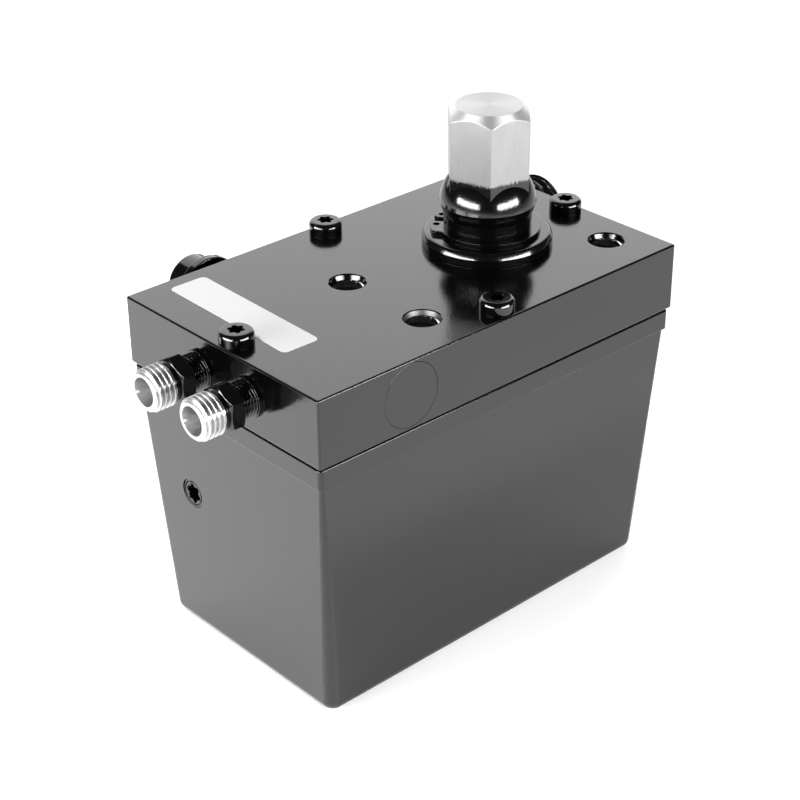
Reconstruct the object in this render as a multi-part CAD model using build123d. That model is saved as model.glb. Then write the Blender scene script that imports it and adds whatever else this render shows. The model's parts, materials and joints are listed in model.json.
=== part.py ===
"""Hand-operated hydraulic pump unit: a rectangular valve block bolted on top of a tapered oil tank.

Millimetres. +X across the width, +Y from the couplings to the filler cap, +Z up.
The origin is the centre of the tank's flat base.
"""

from build123d import *
import math
import os

# ---------------------------------------------------------------- driving dimensions
WIDTH = 80.0            # block across X
LENGTH = 133.0          # block along Y
BLOCK_HEIGHT = 20.0
GASKET_THICKNESS = 0.6
TANK_HEIGHT = 81.4
RIM_HEIGHT = 6.2        # thick rim at the tank's mouth
RIM_INSET = 0.5         # rim set in from the block's sides
WALL_TOP_INSET = 1.25   # tapered wall set in from the block's sides, just under the rim
BASE_WIDTH = 70.8       # tapered wall at the tank's base
BASE_LENGTH = 122.8
TANK_WALL = 3.2
FLOOR = 4.0

DRIVE_X, DRIVE_Y = 1.7, 29.3        # axis of the hexagon drive
HEX_AF = 22.0
HEX_TURN = 18.5                     # one corner's angle about Z, degrees
HEX_TOP = 41.9                      # all drive heights are above the block's top face
NECK_R = 12.5
COLLAR_R = 13.75
COLLAR_EDGE = 13.05
JOURNAL_R = 14.0
BUSH_FLANGE_R = 18.65
BUSH_FLANGE_HEIGHT = 4.1
BUSH_SEAT_R = 16.5
ECCENTRICITY = 4.0
CAM_R = 7.0
ROLLER_R = 11.0

PUMP_BORE_R = 6.0
SPOOL_Y = -35.5
SPOOL_BORE_R = 6.0
GALLERY_X = -28.0                   # delivery gallery and the valves along it
DELIVERY_Y = 14.0
RELIEF_Y = -14.0
VALVE_BORE_R = 5.0

COUPLING_X = (-8.1, 12.3)
COUPLING_REACH = 18.0
PORT_R = 5.0
COUPLING_THREAD_R = 6.0
TUBE_SOCKET_R = 3.05

CAP_X = -20.7
CAP_R = 10.4
CAP_BORE_R = 6.5
KNOB_FLANGE_R = 9.95
KNOB_R = 8.0
SPOOL_PLUG_R = 9.25
LEVEL_PLUG_X, LEVEL_PLUG_Z = -19.1, 47.6
LEVEL_PLUG_R = 4.35

MOUNT_HOLE_R = 5.0
MOUNT_HOLES = ((24.6, 54.4, 16.0), (24.6, -17.3, 15.5), (-5.4, -17.3, 15.0))   # x, y, depth
SCREWS = ((1.7, -61.3), (-35.0, 0.2), (34.4, 0.6), (1.7, 61.7))
SCREW_R = 2.5
SCREW_HEAD_R = 4.75
SCREW_HEAD_HEIGHT = 3.7
SCREW_LENGTH = 32.0

SMALL_WAY_R = 1.5                   # return, drain and filler drillings into the tank
RUNNING = 0.03                      # radial clearance of every running fit

# ---------------------------------------------------------------- derived places
BLOCK_BASE = TANK_HEIGHT + GASKET_THICKNESS
TOP = BLOCK_BASE + BLOCK_HEIGHT
MID = BLOCK_BASE + BLOCK_HEIGHT / 2
RIM_BASE = TANK_HEIGHT - RIM_HEIGHT
FRONT = -LENGTH / 2
REAR = LENGTH / 2
SIDE = WIDTH / 2
CAM_LOW, CAM_HIGH = MID - 3.2, MID + 3.2
CHAMBER_FLOOR = CAM_LOW - 1.8
BUSH_SEAT_FLOOR = BLOCK_BASE + 1.0  # the lower bush sits in a blind seat
PLUNGER_FACE = DRIVE_X - ROLLER_R - 0.12
PLUNGER_LENGTH = 16.0
PLUNGER_NOSE = 8.0      # flattened nose that reaches under the shaft's shoulder
PUMP_PLUG_INNER = -31.0
BUSH_DEPTH = 3.9
RETURN_X = 27.0
HEX_CORNER_R = HEX_AF / math.sqrt(3)
SUCTION_TOP = MID - 7.2             # just under the plug that closes the pump bore
LOCATING_BALL_X = 20.0
LOCATOR_TOP = MID - 6.2
O_RING_X = (-36.0, -18.5, 1.8, 31.2)
SPOOL_END = 33.2
KNOB_INNER = -SIDE - 0.6


# ---------------------------------------------------------------- small helpers
def post(radius, low, high, x=0.0, y=0.0):
    """Upright round bar."""
    return Pos(x, y, (low + high) / 2) * Cylinder(radius, high - low)


def bar_x(radius, low, high, y, z):
    """Round bar along X."""
    return Pos((low + high) / 2, y, z) * Rot(0, 90, 0) * Cylinder(radius, high - low)


def bar_y(radius, low, high, x, z):
    """Round bar along Y."""
    return Pos(x, (low + high) / 2, z) * Rot(90, 0, 0) * Cylinder(radius, high - low)


def turned(profile):
    """Solid of revolution about Z from (radius, height) corners, listed around the section."""
    section = make_face(Polyline(*[(r, 0, h) for r, h in profile], close=True))
    return revolve(section, Axis.Z)


def turned_y(profile, x, z, outward=1):
    """Solid of revolution about a Y axis through (x, z); heights run along outward * Y from 0."""
    tilt = -90 if outward > 0 else 90
    return Pos(x, 0, z) * Rot(tilt, 0, 0) * turned(profile)


def turned_x(profile, y, z, outward=1):
    """Solid of revolution about an X axis through (y, z); heights run along outward * X from 0."""
    return Pos(0, y, z) * Rot(0, 90 * outward, 0) * turned(profile)


def ring(major, minor):
    """O-ring lying in the XY plane."""
    return Torus(major, minor)


def coil(major, wire, low, high, turns):
    """Compression spring standing along Z, as a helical wire."""
    rise = high - low - 2 * wire
    path = Helix(pitch=rise / turns, height=rise, radius=major)
    section = Plane(origin=path @ 0, z_dir=path % 0) * Circle(wire)
    return Pos(0, 0, low + wire) * sweep(section, path, is_frenet=True)


def rounded_box(width, length, low, high, corner):
    """Upright prism with rounded vertical corners, centred on the origin in plan."""
    return Pos(0, 0, low) * extrude(RectangleRounded(width, length, corner), high - low)


def tapered_shell(low, high, base, top, base_corner, top_corner):
    """Loft between two rounded rectangles given as (width, length)."""
    lower = Plane.XY.offset(low) * RectangleRounded(*base, base_corner)
    upper = Plane.XY.offset(high) * RectangleRounded(*top, top_corner)
    return loft([lower, upper])


def six_lobe_socket(across, depth):
    """Hexalobular recess cutter: a round core with six round lobes, cut downwards from z 0."""
    core = Pos(0, 0, -depth / 2) * Cylinder(across * 0.39, depth)
    for step in range(6):
        angle = math.radians(60 * step)
        reach = across * 0.385
        core += Pos(reach * math.cos(angle), reach * math.sin(angle), -depth / 2) * Cylinder(
            across * 0.115, depth
        )
    return core


# ---------------------------------------------------------------- valve block and its fixed pieces
def valve_block():
    block = Pos(0, 0, MID) * Box(WIDTH, LENGTH, BLOCK_HEIGHT)
    block = fillet(block.edges(), 0.6)
    block -= post(BUSH_SEAT_R, CHAMBER_FLOOR, TOP, DRIVE_X, DRIVE_Y)
    block -= post(8.0, BUSH_SEAT_FLOOR, CHAMBER_FLOOR, DRIVE_X, DRIVE_Y)
    block -= post(SMALL_WAY_R, BLOCK_BASE, CHAMBER_FLOOR, DRIVE_X + 12.0, DRIVE_Y)
    for x, y, depth in MOUNT_HOLES:
        block -= post(MOUNT_HOLE_R, TOP - depth, TOP, x, y)
        block -= Pos(x, y, TOP - 0.2) * Cone(MOUNT_HOLE_R, MOUNT_HOLE_R + 0.4, 0.4)
    for x, y in SCREWS:
        block -= post(SCREW_R + 0.25, BLOCK_BASE, TOP, x, y)
    block -= bar_x(PUMP_BORE_R, PUMP_PLUG_INNER, DRIVE_X - BUSH_SEAT_R + 2, DRIVE_Y, MID)
    block -= bar_x(7.0, -SIDE, PUMP_PLUG_INNER, DRIVE_Y, MID)
    block -= post(4.5, BLOCK_BASE, SUCTION_TOP, GALLERY_X, DRIVE_Y)
    block -= post(1.9, BLOCK_BASE, MID, GALLERY_X, DRIVE_Y)
    for y in (DELIVERY_Y, RELIEF_Y):
        block -= post(VALVE_BORE_R, BLOCK_BASE, TOP - 3.5, GALLERY_X, y)
    block -= bar_y(1.5, DELIVERY_Y, DRIVE_Y, GALLERY_X, MID - 4.0)
    block -= bar_y(1.5, SPOOL_Y, DELIVERY_Y, GALLERY_X, MID + 3.0)
    block -= bar_x(SPOOL_BORE_R, -SIDE, SIDE, SPOOL_Y, MID)
    block -= bar_x(SPOOL_PLUG_R, SIDE - 6.4, SIDE, SPOOL_Y, MID)
    block -= post(SMALL_WAY_R, BLOCK_BASE, MID, RETURN_X, SPOOL_Y)
    block -= post(4.0, BLOCK_BASE, LOCATOR_TOP, LOCATING_BALL_X, SPOOL_Y)
    block -= post(2.05, BLOCK_BASE, MID, LOCATING_BALL_X, SPOOL_Y)
    for x in COUPLING_X:
        block -= bar_y(PORT_R, FRONT, FRONT + 10.5, x, MID)
        block -= bar_y(2.0, FRONT, SPOOL_Y, x, MID)
    block -= bar_y(CAP_BORE_R, REAR - 15.0, REAR, CAP_X, MID)
    for step in (7.5, 11.0, 14.5):
        block -= post(SMALL_WAY_R, BLOCK_BASE, MID, CAP_X, REAR - step)
    return block


def label_plate():
    plate = extrude(RectangleRounded(50.4, 11.7, 1.6), 0.12)
    return Pos(-10.0, -50.1, TOP) * Rot(0, 0, -1.2) * plate


def cover_screws():
    """Four pan-head screws with six-lobe sockets, down through the block into the tank's bosses."""
    head_edge = 1.1
    screws = []
    for index, (x, y) in enumerate(SCREWS):
        head = Pos(0, 0, SCREW_HEAD_HEIGHT / 2) * Cylinder(SCREW_HEAD_R, SCREW_HEAD_HEIGHT)
        head = fillet(head.edges().group_by(Axis.Z)[-1], head_edge)
        shank = Pos(0, 0, -SCREW_LENGTH / 2) * Cylinder(SCREW_R, SCREW_LENGTH)
        socket = Pos(0, 0, SCREW_HEAD_HEIGHT) * Rot(0, 0, 17 * index) * six_lobe_socket(4.4, 2.2)
        screws.append(Pos(x, y, TOP) * ((head + shank) - socket))
    return Compound(children=screws)


def flanged_bush():
    """Steel bush pressed into the block; its round flange sits on the top face."""
    bore = JOURNAL_R + RUNNING
    flange_edge = 1.5
    bush = Pos(0, 0, BUSH_FLANGE_HEIGHT / 2) * Cylinder(BUSH_FLANGE_R, BUSH_FLANGE_HEIGHT)
    bush = fillet(bush.edges().group_by(Axis.Z)[-1], flange_edge)
    bush += Pos(0, 0, -BUSH_DEPTH / 2) * Cylinder(BUSH_SEAT_R, BUSH_DEPTH)
    bush -= Cylinder(bore, 20)
    bush -= Pos(0, 0, -1.0) * Cylinder(bore + 1.75, 2.2)
    return Pos(DRIVE_X, DRIVE_Y, TOP) * bush


def bush_o_ring():
    return Pos(DRIVE_X, DRIVE_Y, TOP - 1.0) * ring(JOURNAL_R + RUNNING + 0.9, 0.85)


def lower_bush():
    sleeve = Cylinder(8.0, CHAMBER_FLOOR - BUSH_SEAT_FLOOR) - Cylinder(6.0 + RUNNING, 30)
    return Pos(DRIVE_X, DRIVE_Y, (CHAMBER_FLOOR + BUSH_SEAT_FLOOR) / 2) * sleeve


# ---------------------------------------------------------------- hexagon drive
def hexagon_head():
    """Hexagon with a turned, rounded top, standing on a ball-shaped collar."""
    ball_centre = 12.04
    ball_r = math.hypot(COLLAR_R, COLLAR_EDGE - ball_centre)
    crown = Line((0, 0, HEX_TOP), (6.9, 0, HEX_TOP))
    shoulder = TangentArc((6.9, 0, HEX_TOP), (9.52, 0, HEX_TOP - 0.98), tangent=(1, 0, 0))
    slope = Line((9.52, 0, HEX_TOP - 0.98), (13.2, 0, HEX_TOP - 4.18))
    wall = Polyline((13.2, 0, HEX_TOP - 4.18), (13.2, 0, 14.0), (0, 0, 14.0), (0, 0, HEX_TOP))
    envelope = revolve(make_face([crown, shoulder, slope, *wall.edges()]), Axis.Z)
    prism = Pos(0, 0, 14.0) * extrude(RegularPolygon(HEX_CORNER_R, 6), HEX_TOP - 14.0)
    head = Rot(0, 0, HEX_TURN) * (prism & envelope)
    ball = Pos(0, 0, ball_centre) * Sphere(ball_r)
    ball &= Pos(0, 0, COLLAR_EDGE + 5.0) * Cylinder(20, 10.0)
    return head + ball


def hex_drive_shaft():
    groove_r = 11.95
    shoulder_low = CAM_HIGH - TOP + 0.1
    body = turned(
        [
            (0, shoulder_low),
            (15.4, shoulder_low),
            (15.4, -BUSH_DEPTH - 1.1),
            (JOURNAL_R, -BUSH_DEPTH - 1.1),
            (JOURNAL_R, 3.6),
            (NECK_R, 3.6),
            (NECK_R, 4.15),
            (groove_r, 4.15),
            (groove_r, 5.45),
            (NECK_R, 5.45),
            (NECK_R, 7.4),
            (12.75, 9.6),
            (COLLAR_R, COLLAR_EDGE),
            (0, COLLAR_EDGE),
        ]
    )
    cam = post(CAM_R, CAM_LOW - TOP, shoulder_low, 0, ECCENTRICITY)
    tail = post(6.0, BUSH_SEAT_FLOOR - TOP + 0.3, CAM_LOW - TOP)
    return Pos(DRIVE_X, DRIVE_Y, TOP) * (body + hexagon_head() + cam + tail)


def circlip():
    """Retaining ring in the neck groove, wider opposite its gap, with two drilled lugs."""
    gap_angle = -146.0
    inner, outer, thickness = 12.02, 15.0, 1.2
    clip = Pos(0.3, 0, 0) * Cylinder(outer, thickness) - Cylinder(inner, thickness)
    clip -= Pos(-14, 0, 0) * Box(12, 3.2, thickness * 2)
    for side in (-1, 1):
        lug_angle = math.radians(180 + side * 17)
        centre = Pos(14.35 * math.cos(lug_angle), 14.35 * math.sin(lug_angle), 0)
        lug = Box(3.6, 4.4, thickness)
        lug = fillet(lug.edges().filter_by(Axis.Z), 0.9)
        lug -= Pos(-0.2, 0, 0) * Cylinder(0.9, thickness * 2)
        clip += centre * Rot(0, 0, math.degrees(lug_angle)) * lug
        clip -= centre * Rot(0, 0, math.degrees(lug_angle)) * Pos(-0.2, 0, 0) * Cylinder(0.9, 3)
    clip -= Cylinder(inner, thickness * 2)
    return Pos(DRIVE_X, DRIVE_Y, TOP + 4.8) * Rot(0, 0, gap_angle - 180) * clip


def thrust_washer():
    washer = Cylinder(16.2, 1.0) - Cylinder(JOURNAL_R + 0.1, 2.0)
    return Pos(DRIVE_X, DRIVE_Y, TOP - BUSH_DEPTH - 0.57) * washer


def cam_roller():
    height = CAM_HIGH - CAM_LOW - 0.2
    roller = Cylinder(ROLLER_R, height) - Cylinder(CAM_R + RUNNING, height * 2)
    roller = chamfer(roller.edges(), 0.3)
    return Pos(DRIVE_X, DRIVE_Y + ECCENTRICITY, MID) * roller


# ---------------------------------------------------------------- pump plunger, along X
def pump_plunger():
    """Hollow round plunger whose flat nose bears on the cam roller."""
    back = PLUNGER_FACE - PLUNGER_LENGTH
    shoulder = PLUNGER_FACE - PLUNGER_NOSE
    plunger = bar_x(PUMP_BORE_R - RUNNING, back, PLUNGER_FACE, DRIVE_Y, MID)
    for side in (-1, 1):
        plunger -= Pos(shoulder + 5.0, DRIVE_Y, MID + side * 5.4) * Box(10.0, 14.0, 5.0)
    plunger -= bar_x(4.2, back, back + 6.0, DRIVE_Y, MID)
    groove = bar_x(8.0, back + 3.4, back + 5.4, DRIVE_Y, MID)
    groove -= bar_x(4.9, back + 3.0, back + 6.0, DRIVE_Y, MID)
    return plunger - groove


def plunger_seal():
    centre = PLUNGER_FACE - PLUNGER_LENGTH + 4.4
    return Pos(centre, DRIVE_Y, MID) * Rot(0, 90, 0) * ring(5.43, 0.53)


def plunger_spring():
    """Return spring, drawn at the length it has with the plunger fully in."""
    wire = 0.5
    stroke = ECCENTRICITY * math.sin(math.radians(35))
    reach = PLUNGER_FACE - PLUNGER_LENGTH + 6.0 - PUMP_PLUG_INNER - stroke - 0.1
    return Pos(PUMP_PLUG_INNER, DRIVE_Y, MID) * Rot(0, 90, 0) * coil(3.3, wire, 0, reach, 6)


def pump_bore_plug():
    plug = bar_x(7.0, -SIDE + 0.2, PUMP_PLUG_INNER, DRIVE_Y, MID)
    groove = bar_x(9.0, PUMP_PLUG_INNER - 3.4, PUMP_PLUG_INNER - 1.2, DRIVE_Y, MID)
    groove -= bar_x(5.3, PUMP_PLUG_INNER - 4.0, PUMP_PLUG_INNER, DRIVE_Y, MID)
    hexagon = extrude(RegularPolygon(3.5, 6), 4.0)
    return (plug - groove) - Pos(-SIDE, DRIVE_Y, MID) * Rot(0, 90, 0) * hexagon


def pump_plug_o_ring():
    return Pos(PUMP_PLUG_INNER - 2.3, DRIVE_Y, MID) * Rot(0, 90, 0) * ring(6.14, 0.82)


# ---------------------------------------------------------------- ball and relief valves, upright
def suction_valve_body():
    """Flanged cartridge with the ball's seat and cage, open to the suction tube below."""
    top = SUCTION_TOP
    body = turned(
        [
            (1.9, top),
            (4.5, top),
            (4.5, BLOCK_BASE),
            (6.0, BLOCK_BASE),
            (6.0, 79.4),
            (4.5, 79.4),
            (4.5, top - 13.0),
            (3.0, top - 13.0),
            (3.0, top - 9.0),
            (1.5, top - 9.0),
            (1.5, top - 7.0),
            (3.0, top - 7.0),
            (3.0, top - 1.5),
            (1.9, top - 1.5),
        ]
    )
    return Pos(GALLERY_X, DRIVE_Y, 0) * body


def suction_ball():
    radius, seat = 2.25, 1.5
    lift = math.sqrt(radius**2 - seat**2) + 0.02
    return Pos(GALLERY_X, DRIVE_Y, SUCTION_TOP - 7.0 + lift) * Sphere(radius)


def suction_tube():
    return Pos(GALLERY_X, DRIVE_Y, 0) * (post(3.0, 12.0, SUCTION_TOP - 9.0) - post(2.0, 11.0, 78.0))


def suction_strainer():
    """Perforated cup pressed over the lower end of the suction tube."""
    cup = post(3.95, 5.5, 18.0) - post(3.0, 6.5, 18.5)
    for step in range(8):
        angle = 45.0 * step
        cup -= Rot(0, 0, angle) * Pos(3.5, 0, 9.3) * Box(3.0, 0.9, 3.6)
    return Pos(GALLERY_X, DRIVE_Y, 0) * cup


def delivery_valve_body():
    """Screwed-in seat plug with a cross hole under the seat and a guide sleeve over it."""
    body = turned(
        [
            (0, 79.6),
            (6.0, 79.6),
            (6.0, BLOCK_BASE),
            (VALVE_BORE_R, BLOCK_BASE),
            (VALVE_BORE_R, 93.0),
            (2.9, 93.0),
            (2.9, 90.0),
            (1.6, 90.0),
            (1.6, 87.0),
            (0, 87.0),
        ]
    )
    cross = bar_y(1.5, -8, 8, 0, MID - 4.0)
    slot = Pos(0, 0, 79.6) * Box(14, 1.4, 2.4)
    return Pos(GALLERY_X, DELIVERY_Y, 0) * (body - cross - slot)


def delivery_ball():
    radius, seat = 2.5, 1.6
    return Pos(GALLERY_X, DELIVERY_Y, 90.0 + math.sqrt(radius**2 - seat**2) + 0.02) * Sphere(radius)


def delivery_spring():
    return Pos(GALLERY_X, DELIVERY_Y, 0) * coil(1.6, 0.25, 94.3, 98.45, 4)


def relief_valve_body():
    body = turned(
        [
            (3.2, 79.0),
            (6.0, 79.0),
            (6.0, BLOCK_BASE),
            (VALVE_BORE_R, BLOCK_BASE),
            (VALVE_BORE_R, 93.4),
            (1.6, 93.4),
            (1.6, 91.5),
            (3.2, 91.5),
        ]
    )
    drain = bar_y(1.0, -9, 9, 0, 80.6)
    return Pos(GALLERY_X, RELIEF_Y, 0) * (body - drain)


def relief_poppet():
    poppet = turned(
        [
            (0, 87.6),
            (3.2 - RUNNING, 87.6),
            (3.2 - RUNNING, 90.2),
            (2.2, 90.75),
            (1.0, 92.15),
            (0, 92.15),
        ]
    )
    flute = Box(1.2, 8, 20)
    return Pos(GALLERY_X, RELIEF_Y, 0) * (poppet - Pos(3.4, 0, 88) * flute - Pos(-3.4, 0, 88) * flute)


def relief_spring():
    return Pos(GALLERY_X, RELIEF_Y, 0) * coil(2.3, 0.4, 82.6, 87.55, 4)


def relief_adjuster():
    screw = post(3.2, 77.2, 82.55)
    hexagon = Pos(0, 0, 77.2) * extrude(RegularPolygon(1.7, 6), 2.2)
    drain = bar_y(1.0, -9, 9, 0, 80.6)
    return Pos(GALLERY_X, RELIEF_Y, 0) * (screw - hexagon - drain)


# ---------------------------------------------------------------- directional valve, along X
def spool_recess(centre, width, depth):
    cut = bar_x(8.0, centre - width / 2, centre + width / 2, SPOOL_Y, MID)
    return cut - bar_x(SPOOL_BORE_R - depth, centre - width, centre + width, SPOOL_Y, MID)


def valve_spool():
    """Rotary spool: two long drillings swap the couplings between delivery and return."""
    radius = SPOOL_BORE_R - RUNNING
    spool = bar_x(radius, KNOB_INNER, SPOOL_END, SPOOL_Y, MID)
    spool += bar_x(3.0, -SIDE - 10.0, KNOB_INNER, SPOOL_Y, MID)
    spool -= Pos(-SIDE - 6.0, SPOOL_Y, MID + 3.4) * Box(8.8, 8, 2.0)
    spool -= bar_x(1.25, -SIDE - 10.0, -SIDE - 2.0, SPOOL_Y, MID)
    for x in O_RING_X:
        spool -= spool_recess(x, 2.2, 1.75)
    spool -= spool_recess(LOCATING_BALL_X, 4.2, 1.15)
    left, right = COUPLING_X
    offset, drill = 1.6, 1.1
    for sign, feed, start, stop in ((1, GALLERY_X, GALLERY_X, right), (-1, RETURN_X, left, RETURN_X)):
        y, z = SPOOL_Y - sign * offset, MID + sign * offset
        spool -= bar_x(drill, start - drill, stop + drill, y, z)
        spool -= spool_recess(feed, 4.4, 0.9)
        spool -= bar_y(drill, SPOOL_Y - 9, y, feed, z)
        level_x, turned_x_place = (left, right) if sign > 0 else (right, left)
        spool -= bar_y(drill, SPOOL_Y - 9, y, level_x, z)
        spool -= post(drill, MID - 9, z, turned_x_place, y)
    return spool


def spool_o_rings():
    rings = [Pos(x, SPOOL_Y, MID) * Rot(0, 90, 0) * ring(5.12, 0.85) for x in O_RING_X]
    return Compound(children=rings)


def locating_ball():
    return Pos(LOCATING_BALL_X, SPOOL_Y, MID - 7.0) * Sphere(2.0)


def locating_screw():
    """Screw from below that holds the ball up in the spool's groove."""
    screw = post(4.0, 77.0, LOCATOR_TOP) + post(5.5, 79.0, BLOCK_BASE)
    screw -= post(2.05, MID - 9.0, MID)
    slot = Pos(0, 0, 77.0) * Box(14, 1.2, 2.0)
    return Pos(LOCATING_BALL_X, SPOOL_Y, 0) * (screw - slot)


def valve_knob():
    """Flanged round knob on the far side; a flat in its bore drives the spool."""
    profile = turned_x(
        [
            (3.01, 0.6),
            (5.6, 0.6),
            (5.6, 3.4),
            (KNOB_FLANGE_R - 0.4, 3.4),
            (KNOB_FLANGE_R, 3.8),
            (KNOB_FLANGE_R, 5.6),
            (KNOB_FLANGE_R - 0.4, 6.0),
            (KNOB_R, 6.2),
            (KNOB_R, 12.5),
            (KNOB_R - 1.0, 13.5),
            (3.01, 13.5),
        ],
        SPOOL_Y,
        MID,
        outward=-1,
    )
    knob = Pos(-SIDE, 0, 0) * profile
    knob += bar_x(3.6, -SIDE - 13.5, -SIDE - 10.05, SPOOL_Y, MID)
    knob -= bar_x(1.3, -SIDE - 14.0, -SIDE - 9.0, SPOOL_Y, MID)
    knob -= bar_x(2.45, -SIDE - 14.0, -SIDE - 12.2, SPOOL_Y, MID)
    return knob + Pos(-SIDE - 6.0, SPOOL_Y, MID + 3.1) * Box(7.6, 3.6, 1.2)


def knob_screw():
    screw = bar_x(1.25, -SIDE - 12.3, -SIDE - 3.0, SPOOL_Y, MID)
    screw += bar_x(2.4, -SIDE - 13.6, -SIDE - 12.2, SPOOL_Y, MID)
    cutter = six_lobe_socket(2.4, 0.9)
    return screw - Pos(-SIDE - 13.6, SPOOL_Y, MID) * Rot(0, -90, 0) * cutter


def spool_bore_plug():
    plug = bar_x(SPOOL_PLUG_R, SIDE - 6.2, SIDE, SPOOL_Y, MID)
    plug = chamfer(plug.edges().group_by(Axis.X)[-1], 0.2)
    groove = bar_x(12.0, SIDE - 5.0, SIDE - 2.8, SPOOL_Y, MID)
    groove -= bar_x(7.5, SIDE - 6.0, SIDE - 2.0, SPOOL_Y, MID)
    return plug - groove


def spool_plug_o_ring():
    return Pos(SIDE - 3.9, SPOOL_Y, MID) * Rot(0, 90, 0) * ring(8.37, 0.84)


# ---------------------------------------------------------------- stud couplings, along -Y
def coupling(x):
    """Stud coupling: block thread, hexagon, neck, outer thread and a 24 degree cone with a tube socket."""
    reach = COUPLING_REACH
    socket_taper = math.tan(math.radians(12))
    cone_depth = (4.05 - TUBE_SOCKET_R) / socket_taper
    body = turned(
        [
            (2.0, -8.5),
            (PORT_R, -8.5),
            (PORT_R, 5.5),
            (5.9, 5.5),
            (6.93, 6.3),
            (6.93, 9.3),
            (6.0, 10.0),
            (5.1, 10.0),
            (5.1, 11.1),
            (COUPLING_THREAD_R, 11.6),
            (COUPLING_THREAD_R, reach - 0.9),
            (COUPLING_THREAD_R - 1.1, reach),
            (4.05, reach),
            (TUBE_SOCKET_R, reach - cone_depth),
            (TUBE_SOCKET_R, 8.0),
            (2.0, 8.0),
        ]
    )
    trim = Pos(0, 0, 7.75) * Cylinder(9.0, 4.5)
    trim -= Pos(0, 0, 5.4) * extrude(Rot(0, 0, 30) * RegularPolygon(12.0 / math.sqrt(3), 6), 4.7)
    body -= trim
    return Pos(x, FRONT, MID) * Rot(90, 0, 0) * body


def coupling_seals():
    washers = []
    for x in COUPLING_X:
        washer = bar_y(5.7, FRONT - 1.0, FRONT, x, MID) - bar_y(PORT_R, FRONT - 2.0, FRONT + 1.0, x, MID)
        washers.append(washer)
    return Compound(children=washers)


# ---------------------------------------------------------------- filler cap, along +Y
def filler_cap():
    cap = turned_y(
        [
            (0, -6.6),
            (5.2, -6.6),
            (CAP_BORE_R - 0.1, -5.4),
            (CAP_BORE_R - 0.1, -2.2),
            (5.0, -2.2),
            (5.0, 0.2),
            (8.4, 0.2),
            (8.4, 2.0),
            (CAP_R, 2.2),
            (CAP_R, 3.2),
            (9.1, 4.0),
            (9.1, 5.6),
            (CAP_R, 6.6),
            (CAP_R, 7.8),
            (CAP_R - 0.7, 8.5),
            (0, 8.5),
        ],
        CAP_X,
        MID,
        outward=1,
    )
    return Pos(0, REAR, 0) * cap


def filler_cap_seal():
    return Pos(CAP_X, REAR - 1.1, MID) * Rot(90, 0, 0) * ring(5.73, 0.7)


# ---------------------------------------------------------------- tank
def tank_outer():
    base = (BASE_WIDTH, BASE_LENGTH)
    top = (WIDTH - 2 * WALL_TOP_INSET, LENGTH - 2 * WALL_TOP_INSET)
    wall = tapered_shell(0, RIM_BASE, base, top, 3.8, 1.2)
    wall = fillet(wall.faces().sort_by(Axis.Z)[0].edges(), 3.0)
    rim = rounded_box(WIDTH - 2 * RIM_INSET, LENGTH - 2 * RIM_INSET, RIM_BASE, TANK_HEIGHT, 1.4)
    rim_ends = rim.edges().filter_by(Plane.XY)
    return wall, fillet(rim_ends, 0.5)


def level_boss():
    """Thickening inside the front wall for the level plug."""
    return bar_y(7.5, FRONT + 2.0, FRONT + 11.5, LEVEL_PLUG_X, LEVEL_PLUG_Z)


def tank():
    wall, rim = tank_outer()
    shell = wall + rim
    top_inner = (WIDTH - 2 * WALL_TOP_INSET - 2 * TANK_WALL, LENGTH - 2 * WALL_TOP_INSET - 2 * TANK_WALL)
    base_inner = (BASE_WIDTH - 2 * TANK_WALL, BASE_LENGTH - 2 * TANK_WALL)
    cavity = tapered_shell(FLOOR, RIM_BASE, base_inner, top_inner, 2.0, 1.0)
    cavity += rounded_box(*top_inner, RIM_BASE, TANK_HEIGHT, 1.0)
    body = shell - cavity
    for x, y in SCREWS:
        body += post(5.2, RIM_BASE - 16.0, TANK_HEIGHT, x, y) & shell
    body += level_boss() & wall
    for x, y in SCREWS:
        body -= post(SCREW_R, TOP - SCREW_LENGTH - 0.5, TANK_HEIGHT, x, y)
    body -= bar_y(LEVEL_PLUG_R, FRONT - 1.0, FRONT + 14.0, LEVEL_PLUG_X, LEVEL_PLUG_Z)
    return body


def tank_gasket():
    sheet = rounded_box(WIDTH - 2.6, LENGTH - 2.6, TANK_HEIGHT, BLOCK_BASE, 1.0)
    window = (WIDTH - 2 * WALL_TOP_INSET - 2 * TANK_WALL, LENGTH - 2 * WALL_TOP_INSET - 2 * TANK_WALL)
    ears = Compound(children=[post(5.2, TANK_HEIGHT, BLOCK_BASE, x, y) for x, y in SCREWS])
    gasket = sheet - rounded_box(*window, TANK_HEIGHT, BLOCK_BASE, 1.0)
    for ear in ears.solids():
        gasket += ear & sheet
    for x, y in SCREWS:
        gasket -= post(SCREW_R + 0.2, TANK_HEIGHT, BLOCK_BASE, x, y)
    return gasket


def wall_face_y():
    """Y of the tank's front outer face at the level plug's height."""
    top_half = LENGTH / 2 - WALL_TOP_INSET
    return -(BASE_LENGTH / 2 + (top_half - BASE_LENGTH / 2) * LEVEL_PLUG_Z / RIM_BASE)


def level_plug():
    face = wall_face_y() + 0.15
    plug = bar_y(LEVEL_PLUG_R, face, face + 9.0, LEVEL_PLUG_X, LEVEL_PLUG_Z)
    plug = chamfer(plug.edges().group_by(Axis.Y)[0], 0.45)
    groove = bar_y(8.0, face + 5.0, face + 7.0, LEVEL_PLUG_X, LEVEL_PLUG_Z)
    groove -= bar_y(2.9, face + 4.0, face + 8.0, LEVEL_PLUG_X, LEVEL_PLUG_Z)
    cutter = Rot(90, 0, 0) * six_lobe_socket(5.0, 3.2)
    return plug - groove - Pos(LEVEL_PLUG_X, face, LEVEL_PLUG_Z) * cutter


def level_plug_seal():
    face = wall_face_y() + 0.15
    return Pos(LEVEL_PLUG_X, face + 6.0, LEVEL_PLUG_Z) * Rot(90, 0, 0) * ring(3.62, 0.7)


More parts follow.
